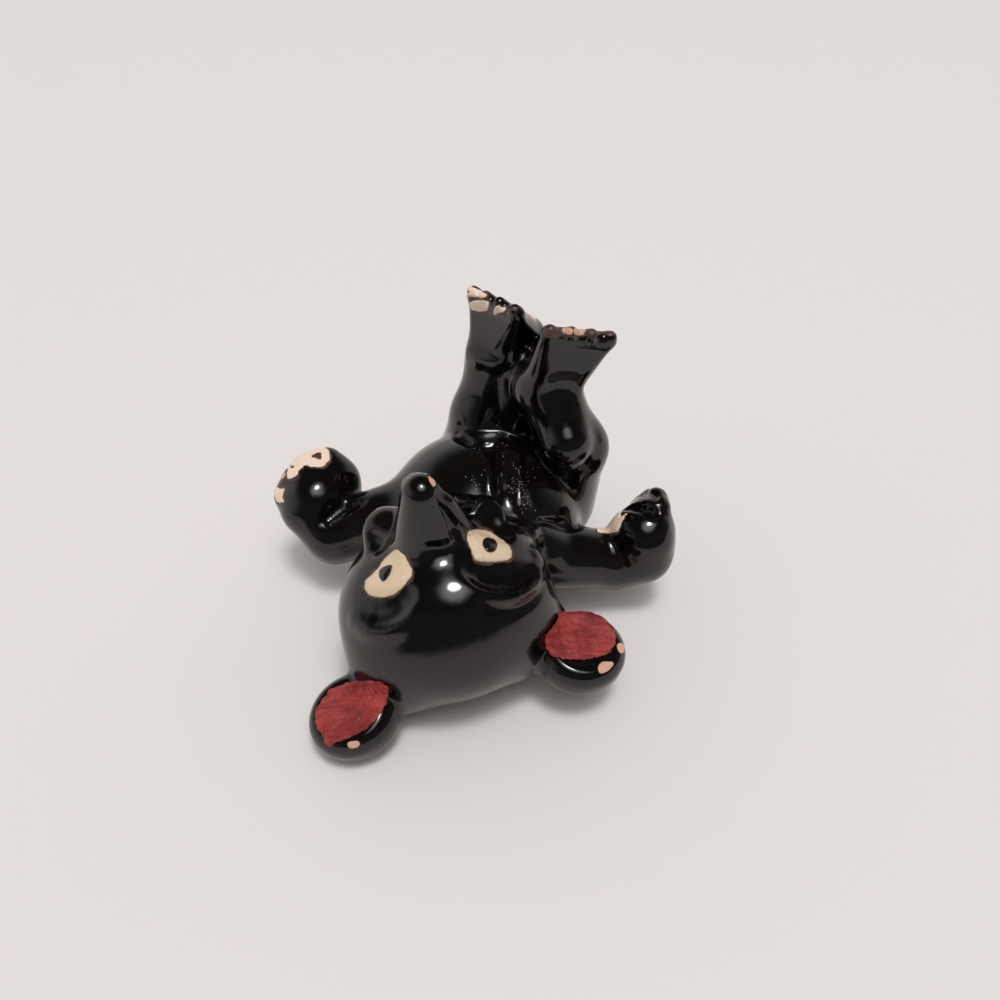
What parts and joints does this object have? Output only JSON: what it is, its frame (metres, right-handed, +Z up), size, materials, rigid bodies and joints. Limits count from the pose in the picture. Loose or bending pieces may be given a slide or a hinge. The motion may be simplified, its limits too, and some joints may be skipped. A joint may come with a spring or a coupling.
{
  "type": "bear figurine",
  "caption": "Black-glazed redware bear figurine that lies on its back with its legs raised and its arms out, with cream eyes and red-lined ears.",
  "frame": {"origin": "middle of the flat ground under the torso, on the table", "axes": "+Z up, +Y from the head towards the rump, +X towards the bear's right"},
  "size_m": [0.0904, 0.0876, 0.069],
  "materials": {
    "black_glaze": "deep gloss black-brown glaze over red clay",
    "cream_paint": "satin cream paint, chipped at its edges",
    "pupil_black": "gloss black paint",
    "red_paint": "matte red paint with brush marks"
  },
  "bodies": {
    "root": {"torso": "black_glaze", "head": "black_glaze", "left_ear": "black_glaze", "right_ear": "black_glaze", "left_ear_lining": "red_paint", "right_ear_lining": "red_paint", "left_eye": "cream_paint", "right_eye": "cream_paint", "left_pupil": "pupil_black", "right_pupil": "pupil_black", "left_arm": "black_glaze", "right_arm": "black_glaze", "left_palm_pad": "cream_paint", "right_palm_pad": "cream_paint", "left_leg": "black_glaze", "right_leg": "black_glaze", "left_sole_pad": "cream_paint", "right_sole_pad": "cream_paint"}
  },
  "joints": []
}
